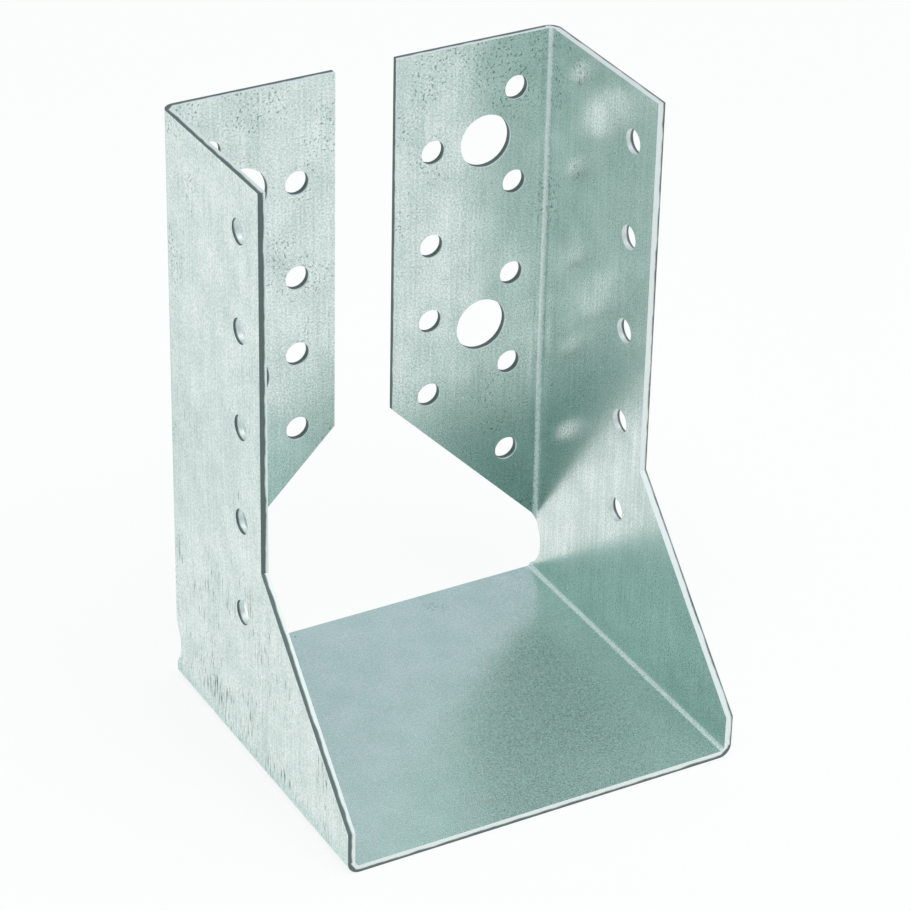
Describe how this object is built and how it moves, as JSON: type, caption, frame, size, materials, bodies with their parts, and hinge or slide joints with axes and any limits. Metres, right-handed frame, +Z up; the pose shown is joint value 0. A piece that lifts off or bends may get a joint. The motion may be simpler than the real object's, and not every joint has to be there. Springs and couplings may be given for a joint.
{
  "type": "joist hanger",
  "caption": "Folded zinc-coated steel joist hanger: a seat between two flared sides, with flanges turned inwards at the back and punched for nails and bolts.",
  "frame": {"origin": "centre of the underside of the seat, on the surface that the hanger stands on", "axes": "+X across the joist, +Y towards the header, out of the flanges' back faces, +Z up from the seat"},
  "size_m": [0.083, 0.075, 0.1235],
  "materials": {
    "zinc_coat": "satin galvanised"
  },
  "bodies": {
    "root": {"hanger_body": "zinc_coat"}
  },
  "joints": []
}
